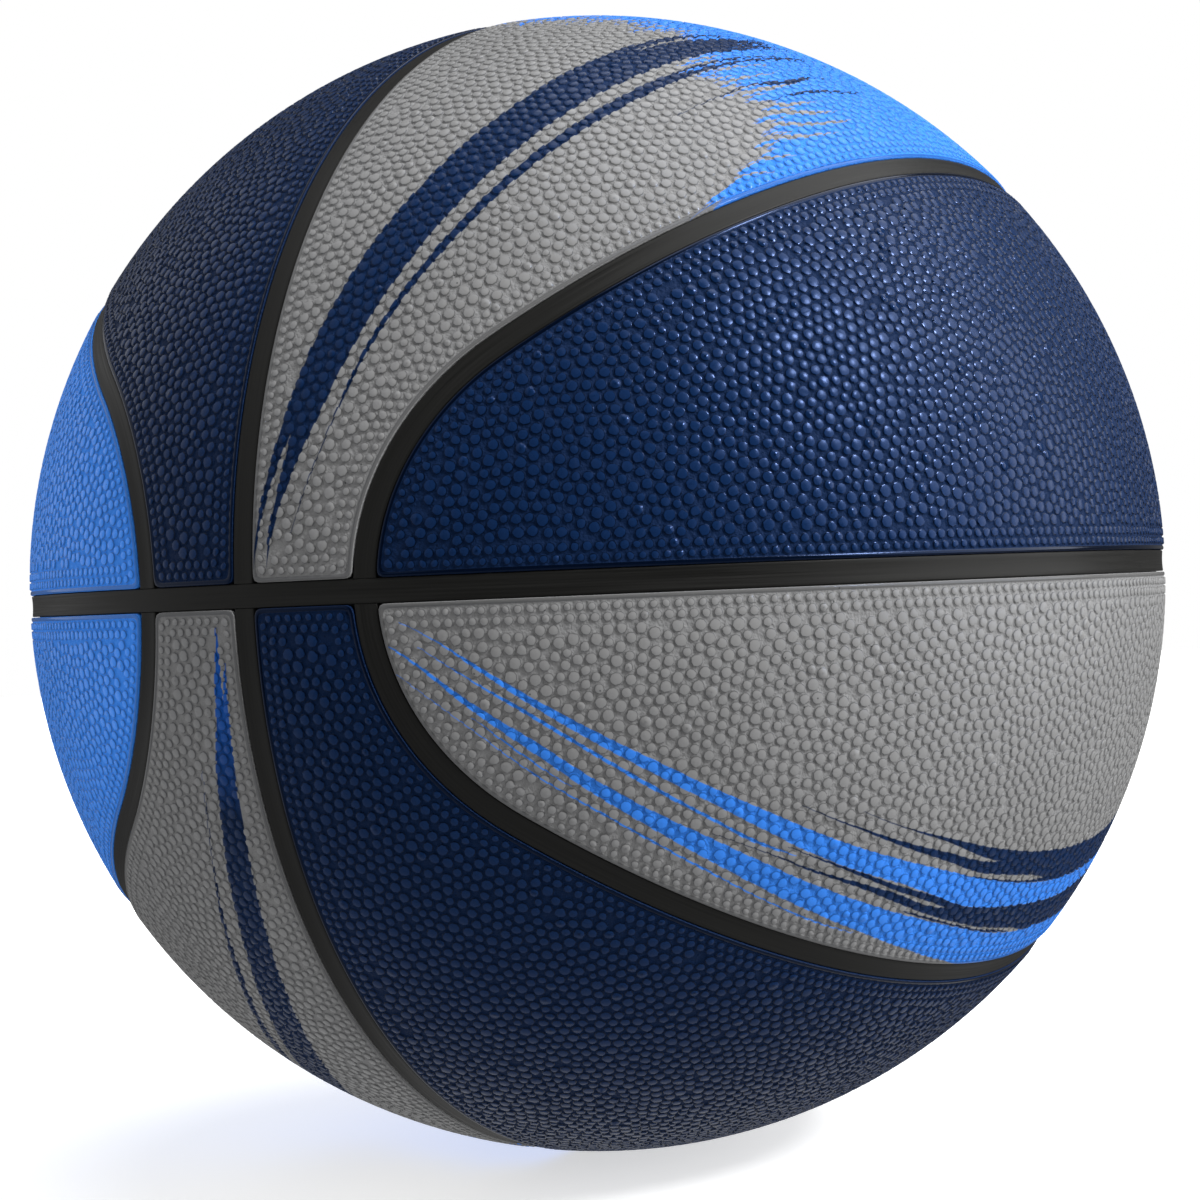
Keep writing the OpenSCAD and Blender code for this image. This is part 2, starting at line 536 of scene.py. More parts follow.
    def room(self, points: Points, radii: Points) -> Points:
        """How large each pebble can be before it meets a neighbour, the lip or the valve's collar."""
        radius, gap = self.ball.radius, self.sizes.gap
        near = self.neighbours(points)
        distance = lengths(points[:, None] - points[near]) * radius
        share = radii[:, None] / (radii[:, None] + radii[near])
        room = ((distance - gap) * share).min(1)
        border = self.outline.closed(self.sizes.lip)
        border = np.concatenate([border, unit(border + np.roll(border, -1, 0))])
        nearest = np.sqrt(np.maximum(2 - 2 * (points @ border.T).max(1), 0)) * radius
        room = np.minimum(room, nearest - gap)
        if self.keep_out is not None:
            middle, reach = self.keep_out
            room = np.minimum(room, lengths(points - middle) * radius - reach - gap)
        return room


@dataclass
class SkinMesh:
    """Vertices and faces of one panel, gathered before Blender gets them."""

    ball: BallSizes
    centre: Points
    points: list[Points] = field(default_factory=list)
    faces: list[tuple[int, ...]] = field(default_factory=list)
    count: int = 0
    merge: float = 1e-12

    def __post_init__(self) -> None:
        """Sets the axes of the flat map on which the panel is triangulated."""
        self.centre = unit(self.centre)
        side = unit(np.cross(self.centre, [0.0, 1.0, 0.0]))
        self.axes = np.stack([side, np.cross(self.centre, side)])

    def flat(self, directions: Points) -> Points:
        """Maps directions to the plane by the stereographic projection, which keeps circles round."""
        return directions @ self.axes.T / (1 + directions @ self.centre)[:, None]

    def add(self, directions: Points, depth: float | Points) -> np.ndarray:
        """Adds vertices at a depth below the ball's surface and returns their indices."""
        radius = self.ball.radius - np.broadcast_to(depth, len(directions))
        self.points.append(directions * radius[:, None])
        first = self.count
        self.count += len(directions)
        return np.arange(first, self.count)

    def add_loop(self, loop: Points, depth: float, left: bool) -> np.ndarray:
        """Adds a closed line, which runs anticlockwise as seen from outside if left."""
        x, y = self.flat(loop).T
        area = np.sum(x * np.roll(y, -1) - y * np.roll(x, -1))
        return self.add(loop if (area > 0) == left else loop[::-1], depth)

    def add_wall(self, loops: Sequence[Points], depths: Sequence[float], left: bool) -> list[np.ndarray]:
        """Adds closed lines, and joins each to the next with quads."""
        rows = [self.add_loop(loop, depth, left) for loop, depth in zip(loops, depths)]
        for outer, inner in zip(rows, rows[1:]):
            quads = np.stack([outer, np.roll(outer, -1), np.roll(inner, -1), inner], axis=1)
            self.faces += [tuple(f) for f in quads.tolist()]
        return rows

    def triangulate(self, flat: Points, edges: list, outer: list) -> tuple[np.ndarray, list[list[int]]]:
        """Triangulates points of the flat map, and also tells which given points each new one is."""
        points = [Vector(p) for p in flat.tolist()]
        made = delaunay_2d_cdt(points, edges, outer, 1 if outer else 0, self.merge, bool(outer))
        return np.array([list(f) for f in made[2]]), made[3]

    def fill(self, loops: Sequence[np.ndarray], rings: Sequence[np.ndarray], loose: np.ndarray,
             flip: bool) -> list[int]:
        """Triangulates the inside of the first loop, round the other loops and the rings.

        Args:
            loops: The outer loop and any holes, as rows of vertex indices.
            rings: The pebbles' bases, each of which becomes one face.
            loose: Further vertices to be used.
            flip: Whether the faces look to the middle of the ball.

        Returns:
            The indices of the rings' faces.
        """
        used = np.concatenate([*loops, *rings, loose])
        owner = np.full(len(used), -1)
        edges: list[tuple[int, int]] = []
        first = 0
        for number, row in enumerate([*loops, *rings]):
            index = np.arange(first, first + len(row))
            owner[index] = number
            edges += np.stack([index, np.roll(index, -1)], axis=1).tolist()
            first += len(row)
        flat = self.flat(unit(np.concatenate(self.points)[used]))
        triangles, origins = self.triangulate(flat, edges, [list(range(len(loops[0])))])
        triangles = np.array([v[0] for v in origins])[triangles]
        owners = owner[triangles]
        same = (owners[:, 0] == owners[:, 1]) & (owners[:, 0] == owners[:, 2]) & (owners[:, 0] > 0)
        triangles = used[triangles[~same]]
        if flip:
            triangles = triangles[:, ::-1]
        self.faces += [tuple(t) for t in triangles.tolist()]
        start = len(self.faces)
        self.faces += [tuple(r.tolist()) for r in rings]
        return list(range(start, len(self.faces)))

    def build(self, name: str) -> Object:
        """Makes the Blender object."""
        mesh = bpy.data.meshes.new(name)
        mesh.from_pydata(np.concatenate(self.points).tolist(), [], self.faces)
        mesh.update()
        obj = bpy.data.objects.new(name, mesh)
        bpy.context.scene.collection.objects.link(obj)
        return obj


def add(tree: Tree, kind: str, inputs: dict | None = None, out: int | str = 0, **settings) -> Socket:
    """Adds a node with its settings and links.

    Args:
        tree: The node tree.
        kind: The node's type, without the words ShaderNode.
        inputs: What each input socket gets, a value or another node's socket.
        out: Which output socket to return.
        **settings: The node's own settings.

    Returns:
        The output socket.
    """
    node = tree.nodes.new("ShaderNode" + kind)
    for name, value in settings.items():
        setattr(node, name, value)
    for key, value in (inputs or {}).items():
        if isinstance(value, bpy.types.NodeSocket):
            tree.links.new(value, node.inputs[key])
        else:
            node.inputs[key].default_value = value
    return node.outputs[out]


def maths(tree: Tree, operation: str, *values: Socket | float) -> Socket:
    """Adds a node that works out one number."""
    return add(tree, "Math", dict(enumerate(values)), operation=operation)


def highest_of(tree: Tree, values: Sequence[Socket]) -> Socket:
    """Adds nodes that find the highest of several numbers."""
    highest = values[0]
    for value in values[1:]:
        highest = maths(tree, "MAXIMUM", highest, value)
    return highest


def remap(tree: Tree, value: Socket, low: float, high: float, to_low: float = 0.0,
          to_high: float = 1.0) -> Socket:
    """Adds a node that maps one range of numbers to another."""
    return add(tree, "MapRange", {"Value": value, "From Min": low, "From Max": high,
                                  "To Min": to_low, "To Max": to_high})


def noise(tree: Tree, place: Socket, size: float, detail: float) -> Socket:
    """Adds a noise whose grains are about the given size."""
    return add(tree, "TexNoise", {"Vector": place, "Scale": 1 / size, "Detail": detail})


def paint_of(tree: Tree, colour: str) -> Socket:
    """Adds one colour, as a socket that other nodes can mix."""
    socket = add(tree, "RGB")
    socket.default_value = linear(colour)
    return socket


def shaded(tree: Tree, colour: Socket, shade: Socket) -> Socket:
    """Adds a node that makes a colour lighter or darker."""
    return add(tree, "VectorMath", {0: colour, "Scale": shade}, operation="SCALE")


def mix(tree: Tree, share: Socket, first: Socket, second: Socket) -> Socket:
    """Adds a node that mixes two colours."""
    return add(tree, "Mix", {"Factor": share, 6: first, 7: second}, out=2, data_type="RGBA")


class Ink(Enum):
    """The colours of the cover."""

    NAVY = "#0c2142"
    NAVY_TIP = "#164e9e"
    GREY = "#797979"
    BLUE = "#3a8af2"
    STRIPE_BLUE = "#3377d4"


@dataclass(frozen=True)
class Print:
    """Speed stripes of one colour, and gaps in them.

    Each point of a stroke is an angle along the panel in degrees, and where the ink starts and
    ends across it in mm. Between the two frayed angles the ink breaks up as a dry brush does.
    """

    ink: Ink
    strokes: Sequence[Stroke]
    gaps: Sequence[Stroke] = ()
    frayed: tuple[float, float] | None = None


class Grain(Enum):
    """Which way a panel's print runs: the axes that its angle and its distance are measured on."""

    TOP_RIGHT = (1, 1, 1)
    BOTTOM_LEFT = (-1, 1, -1)
    RIGHT_LOWER = (1, 1, -1)


TOP_RIGHT_PRINT = (
    Print(Ink.GREY, strokes=(
        ((64, 59.2, 60), (68.7, 61.6, 62.3), (70.7, 63.2, 63.7), (72.6, 64.4, 64.5)),
        ((61, 61.6, 62.9), (64, 63.3, 64.4), (67.4, 65.2, 66), (71.2, 67.3, 67.4)),
        ((61, 66.2, 67.6), (64.2, 68.1, 69.5), (67.1, 70.2, 71.1), (71.1, 72.2, 72.3)),
        ((59, 68.8, 70.4), (62, 71.8, 73.2), (65.4, 75.6, 76.6), (70.3, 78.3, 78.4)),
        ((57, 69.8, 71.5), (61, 73.4, 75), (64.7, 78.1, 79.5), (67.5, 80.8, 81.4), (70, 82.4, 82.5)),
        ((55, 71.5, 72.9), (58.6, 75.3, 76.6), (62.8, 80.6, 81.8), (66.5, 83.5, 84.2), (70.2, 85.6, 85.7)),
        ((50, 70.6, 72), (54.5, 75, 76.4), (59.2, 81, 82.2), (62, 83.8, 84.5), (64.8, 86.2, 86.3)),
        ((46, 69, 70.6), (50.2, 75.4, 76.6), (52.9, 79.7, 80.6), (55.6, 83.4, 83.5)),
        ((41, 65.4, 66.8), (45.2, 72.2, 73.4), (48.4, 77.6, 78.4), (50.8, 81.9, 82)),
    )),
    Print(Ink.NAVY, strokes=(
        ((2.2, 2.6, 5.2), (5, 3, 6.5), (10, 5, 10.2), (15, 7.5, 14.6), (20, 10.1, 18.4), (25, 13.3, 22.4),
         (30, 16.8, 26.6), (40, 24.7, 35.1), (50, 32.4, 43), (60, 38.9, 50), (70, 44.7, 55.5),
         (75, 48, 57.8), (80, 52, 59.3), (86, 57, 60.5)),
        ((5, 10.2, 10.3), (10, 13.9, 14.1), (15, 17.6, 17.9), (20, 20.9, 21.8), (25, 25.1, 26.3),
         (30, 29.6, 31.4), (40, 38.5, 40.7), (50, 46.8, 49.6), (60, 53.4, 56.4), (70, 58.9, 61.3),
         (80, 63.8, 64.9), (86, 65.8, 66)),
        ((53, 60.6, 60.7), (60, 64.8, 65.1), (65, 67, 67.5), (68, 68.9, 70.2), (71, 70.6, 72.1),
         (75, 71.4, 72.2), (78, 73, 73.1)),
        ((61, 71.4, 71.5), (65, 73, 73.3), (70, 74.8, 75.4), (74, 76.5, 77.4), (77, 77.9, 78.6),
         (81, 79, 79.1)),
    ), gaps=(
        ((2, 2.6, 5.2), (3.5, 3, 5.4), (5, 3.6, 5.7), (8, 5.2, 7), (10, 6.6, 7.9), (13.3, 9, 9.1)),
        ((64, 43.6, 43.7), (67, 45, 45.8), (70, 46.5, 47.8), (74, 48.5, 50), (80, 52, 54)),
        ((61, 54.9, 55), (65, 57, 57.7), (70, 59.6, 60.4), (76, 62.5, 62.9)),
    ), frayed=(72, 92)),
)

BOTTOM_LEFT_PRINT = (
    Print(Ink.NAVY, strokes=(
        ((2.5, 6.5, 6.6), (5, 6.4, 7.3), (8, 6.6, 8.3), (10, 6.3, 8.9), (15, 7, 11.4), (20, 8.2, 13.6),
         (25, 9.8, 16.2), (30, 11.8, 18.7), (40, 16.5, 24.8), (50, 22, 31.8), (60, 28.8, 40.2),
         (70, 36.5, 48), (80, 46, 55), (86, 52, 57.5)),
        ((5.5, 5.1, 5.2), (8, 5.4, 6.2), (11, 5.9, 7.2), (15, 7, 8)),
        ((15, 15, 15.1), (20, 17, 17.2), (25, 19.7, 20), (30, 22.6, 23.4), (35, 25.3, 26.6),
         (40, 28.3, 29.9), (50, 35.1, 37.5), (60, 43, 45.7), (70, 51.2, 53.6), (80, 59, 60.2),
         (86, 63, 63.2)),
    ), frayed=(68, 87)),
)

RIGHT_LOWER_PRINT = (
    Print(Ink.STRIPE_BLUE, strokes=(
        ((-75.5, 5.3, 5.4), (-72, 9.3, 9.6), (-70, 12.1, 12.7), (-65, 18.8, 20.2), (-60, 25, 27),
         (-55, 30.7, 33.2), (-50, 36.2, 39.1), (-45, 41.2, 44.9), (-40, 46, 50.3), (-35, 50, 54.5),
         (-30, 53.3, 58), (-25, 56.2, 61.7), (-20, 58.9, 65.2), (-10, 62.5, 67.6), (0, 63.4, 68.1),
         (10, 62.1, 65.9), (20, 58.9, 62.5), (30, 53.5, 57.5), (40, 46, 50), (50, 36.5, 39.5),
         (60, 25.5, 27.5), (70, 12.5, 13), (75, 5.3, 5.4)),
        ((-74, 9.6, 9.7), (-70, 15.2, 15.5), (-65, 21.7, 22.4), (-60, 28.7, 29.4), (-55, 35.4, 36.2),
         (-50, 41.7, 42.3), (-46, 46.4, 47), (-42, 50, 50.1)),
        ((-76.5, 9.3, 9.5), (-74, 12.8, 13.4), (-70, 19.3, 20.6), (-65, 26.3, 28.6), (-60, 33.7, 36.5),
         (-55, 40.1, 43.5), (-50, 45.6, 50), (-45, 51, 56.1), (-40, 56, 61.5), (-30, 64, 70.6),
         (-20, 70, 77.9), (-10, 74.2, 83), (0, 75, 85), (10, 74.6, 85), (20, 71.5, 79.5),
         (30, 66, 72), (40, 57.5, 62), (50, 46.5, 50), (60, 34, 36), (70, 19.5, 20),
         (76, 9.3, 9.4)),
        ((-76, 14.2, 14.3), (-70, 24, 24.2), (-65, 32.3, 32.6), (-60, 39.1, 39.5), (-55, 45.7, 46.1),
         (-50, 52, 52.4), (-45, 58, 58.3), (-40, 63.2, 63.5), (-34, 67.9, 68)),
        ((-70, 21.8, 21.9), (-66, 28.5, 28.9), (-62, 34.9, 35)),
    )),
    Print(Ink.NAVY, strokes=(
        ((-36, 42.3, 42.4), (-32, 45.7, 45.9), (-30, 47, 47.3), (-25, 49.8, 50.8), (-20, 52.4, 54.6),
         (-17, 53.6, 56.2), (-10, 55.6, 58), (0, 56, 59), (10, 53.9, 57), (20, 49.5, 52),
         (30, 42.5, 44), (40, 33.5, 34), (46, 27, 27.1)),
        ((-42, 40.3, 40.4), (-40, 42.2, 42.4), (-35, 46.3, 46.8), (-30, 49.8, 50.9), (-25, 52.6, 54.4),
         (-20, 55.4, 57.8), (-17, 56.1, 59), (-12, 56, 60.3), (-8, 56.5, 61.6), (-5, 57, 63.2),
         (0, 57, 63.4), (10, 55, 62.1), (20, 51, 58.7), (30, 46, 52.5), (40, 38.5, 43),
         (50, 28.5, 31), (58, 19, 19.1)),
        ((-22, 58, 58.1), (-18, 59.6, 59.9), (-12, 61.5, 62), (-8, 62.2, 62.8), (-5, 62.5, 63.3)),
        ((-43, 48, 48.1), (-40, 50.6, 50.9), (-35, 54.6, 55.4), (-30, 58.5, 59.7), (-25, 61.7, 63.3),
         (-20, 65.2, 67), (-15, 66.7, 70), (-10, 67.6, 71.5), (-5, 68.1, 74.9), (0, 68.1, 75),
         (10, 65.9, 74.6), (20, 62.5, 71), (30, 57.5, 64.5), (40, 50.5, 55.5), (50, 40, 43),
         (60, 28.5, 29)),
        ((-50, 44.6, 44.7), (-45, 48.8, 49), (-40, 53.2, 53.7), (-35, 56.7, 57.7), (-30, 60.2, 62),
         (-25, 64, 65.9), (-20, 65.6, 69), (-15, 67, 71.5), (-10, 68, 73), (-5, 69, 74.9)),
        ((-29, 64, 64.1), (-25, 66.4, 67), (-20, 69.5, 69.9), (-15, 72, 72.5), (-9, 73.9, 74.3)),
    )),
)


@dataclass(frozen=True)
class Finish:
    """What every finish shares: a new material, named for what it is made of, with empty nodes."""

    name: str

    def material(self) -> bpy.types.Material:
        """Builds the material."""
        material = bpy.data.materials.new(self.name)
        material.use_nodes = True
        tree = material.node_tree
        tree.nodes.clear()
        output = tree.nodes.new("ShaderNodeOutputMaterial")
        tree.links.new(self.surface(tree), output.inputs["Surface"])
        return material

    def surface(self, tree: Tree) -> Socket:
        """The finish's own nodes."""
        raise NotImplementedError


@dataclass(frozen=True)
class CoverRubber(Finish):
    """Moulded rubber cover, tinted right through.

    Its satin skin gives a wide, soft gloss on each pebble's flat top. The colour is darkened on the
    steep flanks and in the valleys by height alone, as painted shade that draws each pebble's rim;
    the valleys are also rough, with fine nubs, as the mould leaves them.
    The colour is slightly mottled, with small dark dots painted as the shade inside pin-prick holes.
    """

    ink: Ink
    ball: BallSizes
    roughness: Curve = ((0, 0.85), (0.15, 0.6), (0.35, 0.2), (0.85, 0.17), (1, 0.7))
    specular: float = 0.24
    sheen: str = "#ffffff"
    # Painted shade: how far the colour is darkened in the valleys and on the pebbles' flanks.
    painted_valley_shade: float = 0.9
    painted_flank_shade: float = 0.55
    valley_depth: float = 0.42 * MM
    top_depth: float = 0.05 * MM
    grain: float = 0.22 * MM
    grain_height: float = 0.05 * MM
    grain_strength: float = 0.12
    nub: float = 0.55 * MM
    nub_height: float = 0.25 * MM
    nub_levels: tuple[float, float] = (0.05, 0.4)
    mottle: float = 30 * MM
    mottle_shades: tuple[float, float] = (0.95, 1.05)
    pin_cell: float = 3.4 * MM
    pin: float = 0.16 * MM
    pin_blur: float = 0.3
    # Painted shade: how dark the dots for the pin-prick holes are made.
    painted_pin_shade: float = 0.35

    def paint(self, tree: Tree, place: Socket) -> Socket:
        """The cover's colour before its shading."""
        return paint_of(tree, self.ink.value)

    def curve(self, tree: Tree, along: Socket, points: Curve, most: float = 1.0) -> Socket:
        """A value that follows a smooth curve.

        Args:
            tree: The node tree.
            along: Where on the curve, from 0 to 1.
            points: Places along the curve and the values there.
            most: The highest value that the curve can give.

        Returns:
            The value.
        """
        socket = add(tree, "FloatCurve", {"Value": along})
        mapping = socket.node.mapping
        mapping.extend = "HORIZONTAL"
        line = mapping.curves[0]
        for _ in points[2:]:
            line.points.new(0.5, 0.5)
        for slot, (share, value) in zip(line.points, points):
            slot.location = (share, value / most)
        mapping.update()
        return maths(tree, "MULTIPLY", socket, most)

    def surface(self, tree: Tree) -> Socket:
        """The rubber's colour with painted shade by how high a place stands, and its gloss and grain."""
        place = add(tree, "TexCoord", out="Object")
        height = add(tree, "VectorMath", {0: place}, out="Value", operation="LENGTH")
        lifted = remap(tree, height, self.ball.radius - self.valley_depth, self.ball.radius - self.top_depth)
        # Painted shade: the colour is darkened on the pebbles' steep flanks and in the valleys, by height
        # alone.
        valley, flank = self.painted_valley_shade, self.painted_flank_shade
        steps = ((0, valley), (0.1, valley), (0.3, flank), (0.55, flank), (0.8, 1), (1, 1))
        painted_relief_shade = self.curve(tree, lifted, steps)
        mottle = remap(tree, noise(tree, place, self.mottle, 2.0), *NOISE_SPAN, *self.mottle_shades)
        # Painted shade: small dark dots from a Voronoi pattern stand for the shade inside pin-prick holes.
        pin_hole_shade = add(tree, "TexVoronoi", {"Vector": place, "Scale": 1 / self.pin_cell, "Randomness": 1.0},
                   out="Distance", feature="F1")
        reach = self.pin / self.pin_cell
        pin_hole_shade = remap(tree, pin_hole_shade, (1 - self.pin_blur) * reach, (1 + self.pin_blur) * reach, self.painted_pin_shade)
        # The shade is the painted relief shade and painted pin-hole shade, times the rubber's own mottle.
        shade = maths(tree, "MULTIPLY", maths(tree, "MULTIPLY", painted_relief_shade, mottle), pin_hole_shade)

        grain = add(tree, "Bump", {"Height": noise(tree, place, self.grain, 2.0),
                                   "Strength": self.grain_strength, "Distance": self.grain_height})
        low = remap(tree, lifted, *self.nub_levels, 1.0, 0.0)
        nubs = add(tree, "Bump", {"Height": noise(tree, place, self.nub, 1.0), "Strength": low,
                                  "Distance": self.nub_height, "Normal": grain})
        return add(tree, "BsdfPrincipled", {
            "Base Color": shaded(tree, self.paint(tree, place), shade),
            "Roughness": self.curve(tree, lifted, self.roughness), "Normal": nubs,
            "Specular IOR Level": self.specular, "Specular Tint": linear(self.sheen),
        })


@dataclass(frozen=True)
class PrintedCover(CoverRubber):
    """The grey cover with speed stripes printed on it, in thin ink with the rubber's own gloss.

    The main stripe's middle is given as degrees along the panel and mm across it, and the line
    behind which the blue fades in as mm beside that middle and degrees. A stripe's edge is soft over
    a width in mm, and a share of that width lies outside the stripe.
    """

    specular: float = 0.14
    sheen: str = "#b4c8f4"
    painted_valley_shade: float = 0.95
    grain_way: Grain = Grain.TOP_RIGHT
    prints: Sequence[Print] = ()
    blue_tip: tuple[float, float] | None = None
    edge: float = 0.16
    bleed_share: float = 0.25
    spread: float = 0.06
    jitter: float = 0.05
    jitter_size: float = 0.9 * MM
    main_stripe: Curve = ((0, 4.0), (20, 14.2), (40, 29.9), (60, 44.5), (80, 55.6), (100, 61.0))
    fade_line: Curve = ((-10, 74), (0, 69), (5, 66), (10, 64), (16, 63), (22, 63), (30, 61), (35, 57),
                        (38, 53), (41, 47), (44, 41), (50, 30))
    fade_reach: float = 5.0
    fade_edge: float = 0.5
    fray_levels: tuple[float, float] = (0.25, 0.8)
    fray_edge: float = 0.02
    streak: float = 1.2
    streak_length: float = 20.0
    most: float = 100.0

    @property
    def is_side(self) -> bool:
        """Whether the print is on a side panel, where it runs along the equator."""
        return self.grain_way is Grain.RIGHT_LOWER

    def stroke(self, tree: Tree, along: Socket, across: Socket, points: Stroke) -> Socket:
        """A mask that is 1 between the two edges of a stroke."""
        first = HALF_TURN / 2 if self.is_side else 0.0
        share = [(p[0] + first) / HALF_TURN for p in points]
        lines = [[(s, p[1] - self.spread) for s, p in zip(share, points)],
                 [(s, p[2] + self.spread) for s, p in zip(share, points)]]
        start, end = (self.curve(tree, along, line, self.most) for line in lines)
        after, before = maths(tree, "SUBTRACT", across, start), maths(tree, "SUBTRACT", end, across)
        inside = maths(tree, "MINIMUM", after, before)
        half_turn = math.pi * self.ball.radius / MM
        for sign, end in ((1, share[0]), (-1, share[-1])):
            room = maths(tree, "MULTIPLY_ADD", along, sign * half_turn, -sign * end * half_turn)
            inside = maths(tree, "MINIMUM", inside, room)
        return remap(tree, inside, -self.bleed_share * self.edge, self.edge)

    def strokes(self, tree: Tree, along: Socket, across: Socket, strokes: Sequence[Stroke]) -> Socket:
        """The masks of several strokes as one."""
        return highest_of(tree, [self.stroke(tree, along, across, points) for points in strokes])

    def axes(self, tree: Tree, place: Socket) -> tuple[Socket, Socket]:
        """How far along the panel a place is, from 0 to 1, and how far across it in mm."""
        turned = add(tree, "VectorMath", {0: place, 1: self.grain_way.value}, operation="MULTIPLY")
        turned = add(tree, "VectorMath", {0: turned}, operation="NORMALIZE")
        x, y, z = (add(tree, "SeparateXYZ", {0: turned}, out=axis) for axis in "XYZ")
        up, right = (y, x) if self.is_side else (z, maths(tree, "MULTIPLY", y, -1.0))
        first = -math.pi / 2 if self.is_side else 0.0
        along = remap(tree, maths(tree, "ARCTAN2", up, right), first, first + math.pi)
        lean = maths(tree, "ARCSINE", z if self.is_side else x)
        return along, maths(tree, "MULTIPLY", lean, self.ball.radius / MM)

    def blue_fade(self, tree: Tree, beside: Socket, degrees: Socket, streaks: Socket) -> Socket:
        """A mask that is 1 where the cover is blue, with a border broken up by the streaks."""
        first, last = self.fade_line[0][0], self.fade_line[-1][0]
        line = [((mm - first) / (last - first), angle) for mm, angle in self.fade_line]
        border = self.curve(tree, remap(tree, beside, first, last), line, self.most)
        broken = remap(tree, streaks, *NOISE_SPAN, -self.fade_reach, self.fade_reach)
        border = maths(tree, "ADD", maths(tree, "SUBTRACT", degrees, border), broken)
        return remap(tree, border, -self.fade_edge, self.fade_edge)

    def paint(self, tree: Tree, place: Socket) -> Socket:
        """The grey, the blue that fades in over it, and the stripes over both."""
        along, across = self.axes(tree, place)
        shake = remap(tree, noise(tree, place, self.jitter_size, 1.0), 0.0, 1.0, -self.jitter, self.jitter)
        shaken = maths(tree, "ADD", across, shake)
        degrees = maths(tree, "MULTIPLY", along, HALF_TURN)
        colour = paint_of(tree, self.ink.value)
        streaks = None
        if not self.is_side:
            line = [(angle / HALF_TURN, mm) for angle, mm in self.main_stripe]
            middle = self.curve(tree, along, line, self.most)
            beside = maths(tree, "SUBTRACT", across, middle)
            cells = add(tree, "CombineXYZ", {
                "X": maths(tree, "MULTIPLY", beside, 1 / self.streak),
                "Y": maths(tree, "MULTIPLY", degrees, 1 / self.streak_length),
            })
            streaks = add(tree, "TexNoise", {"Vector": cells, "Scale": 1.0, "Detail": 3.0, "Roughness": 0.6})
            blue = self.blue_fade(tree, beside, degrees, streaks)
            colour = mix(tree, blue, colour, paint_of(tree, Ink.STRIPE_BLUE.value))
        for layer in self.prints:
            mask = self.strokes(tree, along, shaken, layer.strokes)
            if layer.gaps:
                kept = maths(tree, "SUBTRACT", 1.0, self.strokes(tree, along, shaken, layer.gaps))
                mask = maths(tree, "MULTIPLY", mask, kept)
            if layer.frayed:
                limit = remap(tree, degrees, *layer.frayed, *self.fray_levels)
                left = maths(tree, "SUBTRACT", streaks, limit)
                left = remap(tree, left, -self.fray_edge, self.fray_edge)
                mask = maths(tree, "MULTIPLY", mask, left)
            ink = paint_of(tree, layer.ink.value)
            if self.blue_tip and layer.ink is Ink.NAVY:
                share = remap(tree, along, *(angle / HALF_TURN for angle in self.blue_tip))
                ink = mix(tree, share, paint_of(tree, Ink.NAVY_TIP.value), ink)
            colour = mix(tree, mask, colour, ink)
        return colour


@dataclass(frozen=True)
class GrainedFinish(Finish):
    """A finish with one fine pattern, which shades the colour, changes the gloss and stands out."""

    colour: str
    span: tuple[float, float] = (0.0, 1.0)
    shade: tuple[float, float] = (0.8, 1.2)
    roughness: tuple[float, float] = (0.54, 0.7)
    specular: float = 0.5
    strength: float = 0.2
    relief: float = 0.05 * MM

    def pattern(self, tree: Tree) -> Socket:
        """The pattern, from 0 to 1."""
        raise NotImplementedError

    def surface(self, tree: Tree) -> Socket:
        """The pattern, worked into the colour, the gloss and the relief."""
        pattern = self.pattern(tree)
        shade = remap(tree, pattern, *self.span, *self.shade)
        relief = {"Height": pattern, "Strength": self.strength, "Distance": self.relief}
        return add(tree, "BsdfPrincipled", {
            "Base Color": shaded(tree, paint_of(tree, self.colour), shade),
            "Roughness": remap(tree, pattern, *self.span, *self.roughness),
            "Specular IOR Level": self.specular,
            "Normal": add(tree, "Bump", relief),
        })


@dataclass(frozen=True)
class SeamRubber(GrainedFinish):
    """Black rubber strip, extruded and rolled in: satin, with fine lines that draw its gloss out."""

    name: str = "black_seam_rubber"
    colour: str = "#161615"
    span: tuple[float, float] = NOISE_SPAN
    shade: tuple[float, float] = (0.7, 1.3)
    roughness: tuple[float, float] = (0.34, 0.52)
    specular: float = 0.12
    strength: float = 0.25
    relief: float = 0.04 * MM
    line_width: float = 0.35 * MM
    line_length: float = 30 * MM

    def pattern(self, tree: Tree) -> Socket:
        """Lines along the strip."""
        scale = (1 / self.line_length, 1 / self.line_width, 1.0)
        cells = add(tree, "Mapping", {"Vector": add(tree, "UVMap", uv_map="strip"), "Scale": scale})
        return noise(tree, cells, 1.0, 3.0)


@dataclass(frozen=True)
class DullRubber(GrainedFinish):
    """Moulded black or grey rubber that is never polished: a matt skin with a fine powdery grain."""

    grain: float = 0.4 * MM

    def pattern(self, tree: Tree) -> Socket:
        """A fine grain."""
        return noise(tree, add(tree, "TexCoord", out="Object"), self.grain, 3.0)


